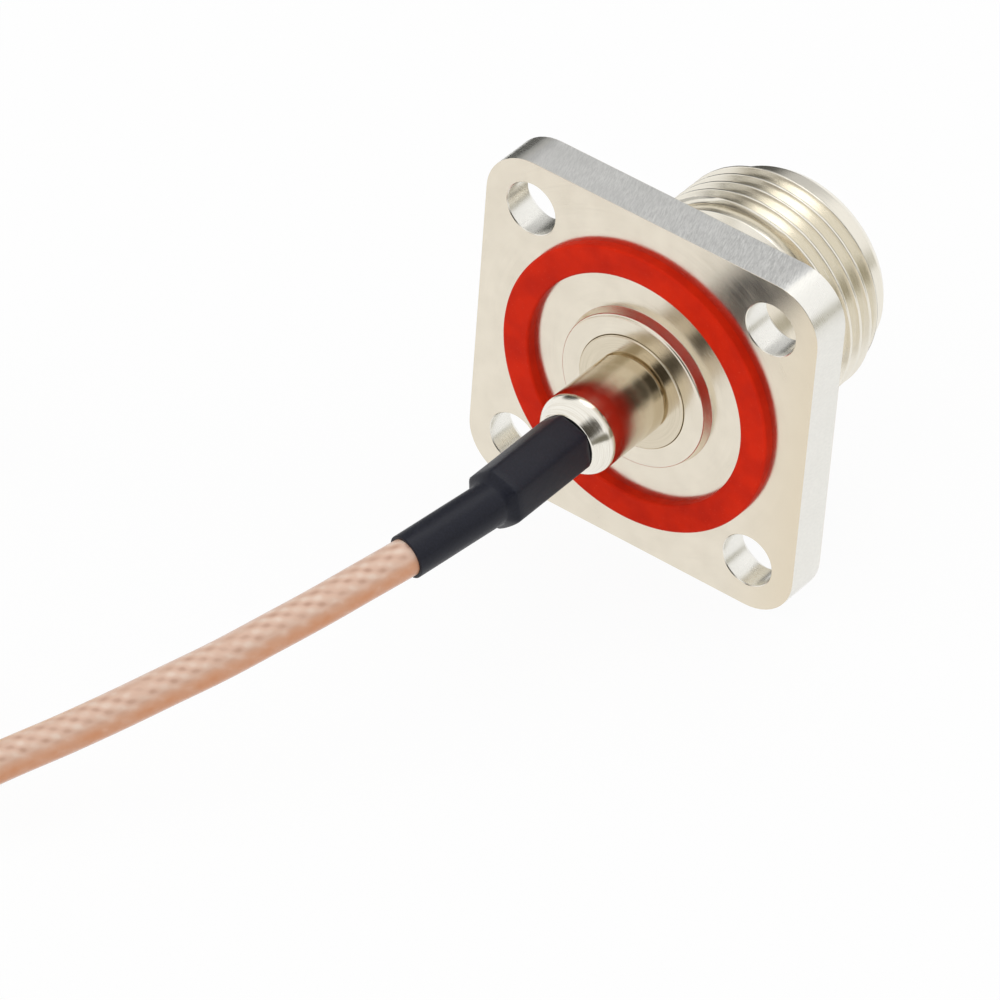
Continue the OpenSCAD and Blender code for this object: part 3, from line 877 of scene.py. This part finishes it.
# A sleeve is a hexagon where it covers a crimp, and round and slim behind it
shrinkSettings = {
    "flat": 1.99,               # from the axis to a flat of the crimp
    "corner": 2.27,
    "sharpness": 9,             # a higher power makes sharper corners
    "slim": 1.47,
    "wall": 0.2,
    "hexWall": 0.34,
    "turn": 43,                 # the crimp's first corner, from +X towards +Z
    "step": 0.5,                # spacing of the rings
    "shoulder": 0.8,
    "shoulderSteps": 10,
    "plugGap": 0.2,             # between the plug's body and its sleeve
    "shoulderLean": 0.8,        # below 1, the shoulder starts sooner
    "end": 0.05,                # the softened edge of the slim end
    "lip": ((0, 0.05), (0.02, 0.02), (0.06, 0)),        # how far back, how far inwards
    "sides": 96,
}


def crimpRadius(around, blend=0):
    s = shrinkSettings
    phase = (180 - 360 * around - s["turn"]) % 60 - 30
    flat = s["flat"] / math.cos(math.radians(phase))
    power = s["sharpness"]
    hexagon = (flat ** -power + s["corner"] ** -power) ** (-1 / power)
    return hexagon * (1 - blend) + s["slim"] * blend


# Rings of a sleeve: over the crimp from front to back, along slimPath, and back inside
def shrinkStations(front, back, slimPath):
    s = shrinkSettings
    x, z = slimPath[0].x, slimPath[0].z

    def overCrimp(y, inset=0, blend=0):
        return (Vector((x, y, z)), lambda around: crimpRadius(around, blend) - inset,
                Vector((0, -1, 0)))

    outside = [overCrimp(front - behind, inset) for behind, inset in s["lip"]]
    rows = round((front - back) / s["step"])
    outside += [overCrimp(front + (back - front) * i / rows) for i in range(1, rows + 1)]
    for i in range(1, s["shoulderSteps"] + 1):
        share = i / s["shoulderSteps"]
        outside.append(overCrimp(back - s["shoulder"] * share,
                                 blend=ease(share ** s["shoulderLean"])))
    slim = []
    for i, place in enumerate(slimPath):
        ahead = slimPath[min(i + 1, len(slimPath) - 1)] - slimPath[max(i - 1, 0)]
        slim.append((place, ahead.normalized()))
    last, heading = slim[-1]
    inner = s["slim"] - s["wall"]
    outside += [(place, s["slim"], ahead) for place, ahead in slim[1:-1]]
    outside += [(last - heading * s["end"], s["slim"], heading),
                (last, s["slim"] - s["end"], heading)]
    inside = [(place, inner, ahead) for place, ahead in slim[:0:-1]]
    inside += [overCrimp(back - s["shoulder"], s["wall"], 1), overCrimp(back, s["hexWall"]),
               overCrimp(front, s["hexWall"])]
    return outside + inside + outside[:1]


def addShrinks():
    s = shrinkSettings
    path = smoothPath([Vector(p) for p in cableSettings["route"][1:5]], s["step"])[0]
    low, high = boxOf("heat_shrink_sleeve")
    bm = swept(shrinkStations(high.y, low.y + s["shoulder"], path), s["sides"])
    finishPiece("leadShrink", bm, "pigtail", ["heat_shrink_sleeve", "heat_shrink_tail"],
                black)
    low, high = boxOf("plug_heat_shrink")
    centre = (low + high) / 2
    ferruleBack = boxOf("plug_ferrule")[0].y
    slimFront = ferruleBack - s["shoulder"]
    slim = [Vector((centre.x, y, centre.z))
            for y in (slimFront, slimFront - 2 * s["step"], low.y + s["step"], low.y)]
    bm = swept(shrinkStations(high.y - s["plugGap"], ferruleBack, slim), s["sides"])
    finishPiece("plugShrink", bm, "pigtail", ["plug_heat_shrink"], black)
    print("heat-shrink")


# The strap round the coil's two turns, a band with round ends in section
strapSettings = {
    "turn": -62,                # where it lies round the coil
    "width": 3,
    "thickness": 0.3,
    "clear": 0.1,               # beside the cable
    "edge": 0.06,
    "roundness": 0.9,           # of half the loop's width
    "sides": 48,
}


def addStrap():
    s = strapSettings
    c = cableSettings
    turn = math.radians(s["turn"])
    radial = Vector((math.cos(turn), math.sin(turn), 0))
    along = Vector((-math.sin(turn), math.cos(turn), 0))
    low, high = boxOf("coil_tie")
    centre = Vector((*c["coilCentre"], (low.z + high.z) / 2)) + radial * c["coilRadius"]
    halfWide = c["diameter"] / 2 + s["clear"] + s["thickness"]
    halfHigh = (high.z - low.z) / 2
    soft = halfWide * s["roundness"]
    half, wall, edge = s["width"] / 2, s["thickness"], s["edge"]
    rings = [(edge, -half), (0, -half + edge), (0, half - edge), (edge, half),
             (wall, half), (wall, -half), (edge, -half)]

    # inset and offset are how far a ring lies inwards and along the cable
    def place(row, around):
        inset, offset = rings[row]
        angle = 2 * math.pi * (around + 0.5 / s["sides"])
        out, up = math.cos(angle), math.sin(angle)
        out = (halfWide - soft) * math.copysign(1, out) + (soft - inset) * out
        up = (halfHigh - soft) * math.copysign(1, up) + (soft - inset) * up
        return centre + along * offset + radial * out + Vector((0, 0, up))

    finishPiece("coilStrap", rolled(len(rings), s["sides"], place), "pigtail", ["coil_tie"],
                black)
    print("strap")


# The plug at the far end of the cable. A piece beside a gap keeps this far from it:
plugSettings = {
    "sides": 96,
    "turnGap": 0.12,            # at the ends of what turns
    "snugGap": 0.02,            # beside the snap ring and behind the insulator
}

plugBodySettings = {
    "post": 0.98,
    "postBore": 0.78,
    "neck": (2.2, 1.6),         # radius and length
    "neckRound": 0.2,
    "flange": (3.2, 2.4),
    "flangeRound": (0.25, 0.2),
    "journal": 2.77,
    "ringGroove": 2.45,
    "sleeve": 2.3,
    "sleeveBore": 2.05,
    "tailBore": 1.4,
    "tailBack": 0.4,            # ahead of the neck's back
}

plugPinSettings = {
    "sides": 48,
    "solderHole": (0.3, 2.5),   # radius and depth
    "tail": 0.65,
    "waist": 0.55,
    "pin": 0.46,
    "pinFrom": 0.2,             # ahead of the insulator
    "tip": (0.23, 0.5),         # radius and length
    "tipRound": 0.2,
}

couplingNutSettings = {
    "flat": 4,                  # from the axis to a flat
    "corner": 4.56,
    "hexagonBeyond": 3.8,       # outside this radius the section is cut to a hexagon
    "bevel": 0.15,
    "chamfer": 0.7,
    "major": 3.175,             # the thread's radii and pitch
    "minor": 2.87,
    "pitch": 0.7056,
    "crestHalf": 0.06,          # in turns
    "flank": 0.3,
    "softWithin": 3.3,          # the thread's edges are shaded smooth inside this radius
    "rowStep": 0.04,
    "mouth": 0.25,
    "groove": 3.45,
    "rear": 2.85,
    "lip": 1,
}


# The centre of a node that is turned about an axis along Y, on that axis at y = 0
def turnedCentre(node):
    low, high = boxOf(node)
    return Vector(((low.x + high.x) / 2, 0, (low.z + high.z) / 2))


plugLow, plugHigh = boxOf("plug_body")
plugGold = goldFinish("plugGold", (plugLow + plugHigh) / 2)


def addPlugBody():
    s = plugBodySettings
    snug = plugSettings["snugGap"]
    back, front = plugLow.y, plugHigh.y
    flangeFront = boxOf("plug_coupling_nut")[0].y - plugSettings["turnGap"]
    ringLow, ringHigh = boxOf("plug_snap_ring")
    gasketBack = boxOf("plug_gasket")[0].y
    insulatorBack = boxOf("plug_insulator")[0].y
    flange, flangeLength = s["flange"]
    neck, neckLength = s["neck"]
    flangeBack = flangeFront - flangeLength
    neckBack = flangeBack - neckLength
    tailBack = neckBack + s["tailBack"]
    outline = [(s["post"], back, 0.05), (s["post"], neckBack, 0.03),
               (neck, neckBack, s["neckRound"]), (neck, flangeBack, 0.05),
               (flange, flangeBack, s["flangeRound"][0]),
               (flange, flangeFront, s["flangeRound"][1]),
               (s["journal"], flangeFront, 0.02), (s["journal"], ringLow.y - snug, 0.02),
               (s["ringGroove"], ringLow.y - snug, 0.02),
               (s["ringGroove"], ringHigh.y + snug, 0.02),
               (s["journal"], ringHigh.y + snug, 0.02), (s["journal"], gasketBack, 0.06),
               (s["sleeve"], gasketBack, 0.02), (s["sleeve"], front, 0.06),
               (s["sleeveBore"], front, 0.06), (s["sleeveBore"], insulatorBack, 0.02),
               (s["tailBore"], insulatorBack, 0.02), (s["tailBore"], tailBack, 0.02),
               (s["postBore"], tailBack, 0.02), (s["postBore"], back, 0.03)]
    bm = turned(outline, plugSettings["sides"], at=turnedCentre("plug_body"))
    finishPiece("plugBody", bm, "pigtail", ["plug_body"], plugGold)


def addPlugPin():
    s = plugPinSettings
    low, high = boxOf("plug_pin")
    insulatorBack, insulatorFront = (corner.y for corner in boxOf("plug_insulator"))
    tailFront = insulatorBack - plugSettings["snugGap"]
    hole, holeDepth = s["solderHole"]
    tip, tipLength = s["tip"]
    outline = [(0, low.y + holeDepth), (hole, low.y + holeDepth, 0.02), (hole, low.y, 0.02),
               (s["tail"], low.y, 0.04), (s["tail"], tailFront, 0.03),
               (s["waist"], tailFront, 0.02), (s["waist"], insulatorFront, 0.02),
               (s["pin"], insulatorFront + s["pinFrom"], 0.05),
               (s["pin"], high.y - tipLength, s["tipRound"]), (tip, high.y, 0.08),
               (0, high.y)]
    bm = turned(outline, s["sides"], closed=False, at=turnedCentre("plug_pin"))
    finishPiece("plugPin", bm, "pigtail", ["plug_pin"], plugGold)


def addCouplingNut():
    s = couplingNutSettings
    low, high = boxOf("plug_coupling_nut")
    centre = turnedCentre("plug_coupling_nut")
    flat, corner, chamfer = s["flat"], s["corner"], s["chamfer"]
    major, minor = s["major"], s["minor"]
    lip = low.y + s["lip"]
    groove = boxOf("plug_snap_ring")[1].y + plugSettings["turnGap"]
    mouth = high.y - s["mouth"]
    outline = [(s["rear"], low.y, 0.1), (flat - s["bevel"], low.y, 0.05),
               (corner, low.y + chamfer), (corner, high.y - chamfer),
               (flat - s["bevel"], high.y, 0.05), (major + s["mouth"], high.y, 0.05)]
    rows = round((mouth - groove) / s["rowStep"])
    outline += [(minor, mouth - i * (mouth - groove) / rows) for i in range(rows + 1)]
    outline += [(s["groove"], groove), (s["groove"], lip), (s["rear"], lip, 0.05)]

    # The outside is cut to a hexagon, and the bore gets its thread
    def shaped(radius, y, around):
        if radius > s["hexagonBeyond"]:
            phase = math.radians(360 * around % 60 - 30)
            return min(radius, flat / math.cos(phase))
        if abs(radius - minor) < shapeSettings["weld"] and groove < y:
            turns = y / s["pitch"] + around
            away = abs(turns - round(turns))
            depth = min(max((away - s["crestHalf"]) / s["flank"], 0), 1)
            return minor + (major - minor) * depth
        return radius

    def onThread(place):
        return (groove < place.y < mouth
                and math.hypot(place.x - centre.x, place.z - centre.z) < s["softWithin"])

    bm = turned(outline, plugSettings["sides"], shift=shaped, at=centre)
    finishPiece("couplingNut", bm, "coupling_nut", ["plug_coupling_nut"],
                plugGold, soft=onThread)


addShell()
addCrimpBody()
addGasket()
addShrinks()
addStrap()
addPlugBody()
addPlugPin()
addCouplingNut()
print("plug")
addCable()

# CAD nodes that keep their own shape
keptNodes = {
    "front_insulator": white, "rear_insulator": white, "centre_contact": contactGold,
    "crimp_ferrule": turnedNickel, "cable_conductor": wire, "cable_dielectric": white,
    "cable_braid": wire, "plug_snap_ring": wire, "plug_gasket": red, "plug_insulator": white,
    "plug_conductor": wire, "plug_dielectric": white, "plug_braid": wire,
    "plug_ferrule": plugGold,
}
for name, material in keptNodes.items():
    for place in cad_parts[name].material_slots:
        place.material = material

# A pale floor, a white room, soft lamps, and cards that only the object's surfaces reflect
studioSettings = {
    "floor": 2.4,               # lengths here are in metres
    "gap": 0.0001,              # floor below the flange's edge
    "floorColour": 0.92,
    "floorRoughness": 0.8,
    "floorGlow": 0.94,          # share of plain white in the floor as it is seen
    "room": 0.55,
    "cardFade": (0.5, 0.28),    # clear from there, full within
    "lamps": {                  # direction, distance, size, watts, whether metal mirrors it
        "keyLamp": ((-0.15, 0.40, 0.91), 0.7, 0.46, 0.75, True),
        "fillLamp": ((-0.2, -0.6, 0.75), 0.7, 0.9, 1.6, False),
        "sideLamp": ((0.75, 0.6, 0.55), 0.6, 0.5, 0.7, False),
    },
    "cards": {                  # direction, distance, width, height, shade
        "leftCard": ((-0.71, 0.70, 0.10), 0.07, 0.09, 0.07, (0.09, 0.09, 0.085)),
        "highCard": ((-0.38, 0.68, 0.62), 0.34, 0.46, 0.3, (0.6, 0.6, 0.6)),
        "rightCard": ((0.88, 0.47, 0.07), 0.34, 0.32, 0.22, (0.40, 0.38, 0.30)),
        "farCard": ((0.965, -0.26, 0.05), 0.34, 0.3, 0.2, (0.2, 0.19, 0.15)),
        "frontCard": ((0.557, -0.66, 0.50), 0.3, 0.36, 0.36, (0.07, 0.064, 0.054)),
        "overCard": ((-0.75, 0.25, 0.61), 0.34, 0.24, 0.28, (0.09, 0.09, 0.08)),
        "nearCard": ((-0.61, -0.70, 0.36), 0.34, 0.18, 0.34, (0.55, 0.51, 0.43)),
    },
}


# A share of white where the camera, metal or glass looks, and none for other light
def seenWhite(owner, share):
    rays = node(owner, "LightPath").outputs
    seen = calc(owner, "MAXIMUM", calc(owner, "MAXIMUM", rays["Is Camera Ray"],
                                       rays["Is Glossy Ray"]), rays["Is Transmission Ray"])
    return calc(owner, "MULTIPLY", seen, share)


def showMix(material, share, under, over):
    mix = node(material, "MixShader", {"Fac": share, 1: under.outputs[0], 2: over.outputs[0]})
    output = material.node_tree.nodes["Material Output"]
    material.node_tree.links.new(mix.outputs[0], output.inputs["Surface"])


def addSheet(name, width, height, transform, material):
    bm = bmesh.new()
    bm.loops.layers.uv.new("UVMap")
    bmesh.ops.create_grid(bm, x_segments=1, y_segments=1, size=0.5, calc_uvs=True)
    bmesh.ops.scale(bm, vec=(width, height, 1), verts=bm.verts)
    bmesh.ops.transform(bm, matrix=transform, verts=bm.verts)
    mesh = bpy.data.meshes.new(name)
    bm.to_mesh(mesh)
    bm.free()
    sheet = bpy.data.objects.new(name, mesh)
    scene.collection.objects.link(sheet)
    mesh.materials.append(material)
    return sheet


def addFloor():
    s = studioSettings
    shade = s["floorColour"]
    material = newMaterial("floor", (shade, shade, shade), 0, s["floorRoughness"], 0)
    shader = material.node_tree.nodes["Principled BSDF"]
    showMix(material, seenWhite(material, s["floorGlow"]), shader, node(material, "Emission"))
    height = cadBox[0][2] - s["gap"]
    addSheet("floor", s["floor"], s["floor"], Matrix.Translation((0, 0, height)), material)


def addRoom():
    world = bpy.data.worlds.new("room")
    scene.world = world
    world.use_nodes = True
    background = world.node_tree.nodes["Background"]
    background.inputs["Color"].default_value = (1, 1, 1, 1)
    strength = remap(world, seenWhite(world, 1), 0, 1, studioSettings["room"], 1)
    world.node_tree.links.new(strength, background.inputs["Strength"])
    scene.view_settings.view_transform = "Standard"


def addLamps():
    for name, (direction, distance, size, watts, mirrored) in studioSettings["lamps"].items():
        data = bpy.data.lights.new(name, "AREA")
        data.shape = "DISK"
        data.size = size
        data.energy = watts
        lamp = bpy.data.objects.new(name, data)
        ahead = Vector(direction).normalized()
        turn = ahead.to_track_quat("Z", "Y").to_matrix().to_4x4()
        lamp.matrix_world = Matrix.Translation(ahead * distance) @ turn
        lamp.visible_glossy = mirrored
        scene.collection.objects.link(lamp)


# A soft oval of the shade, clear at its edge
def cardFinish(name, shade):
    material = newMaterial(name, (0, 0, 0), 0, 1, 0)
    shader = material.node_tree.nodes["Principled BSDF"]
    shader.inputs["Emission Color"].default_value = (*shade, 1)
    shader.inputs["Emission Strength"].default_value = 1
    own = node(material, "UVMap", uv_map="UVMap").outputs[0]
    away = node(material, "VectorMath", {0: own, 1: (0.5, 0.5, 0)}, operation="DISTANCE")
    share = remap(material, away.outputs["Value"], *studioSettings["cardFade"])
    showMix(material, share, node(material, "BsdfTransparent"), shader)
    return material


def addCards():
    for name, (direction, distance, width, height, shade) in studioSettings["cards"].items():
        ahead = Vector(direction).normalized()
        side = Vector((0, 0, 1)).cross(ahead).normalized()
        turn = Matrix((side, ahead.cross(side), ahead)).transposed().to_4x4()
        card = addSheet(name, width, height, Matrix.Translation(ahead * distance) @ turn,
                        cardFinish(name, shade))
        card.visible_camera = False
        card.visible_shadow = False
        card.visible_diffuse = False


addFloor()
addRoom()
addLamps()
addCards()
print("studio")
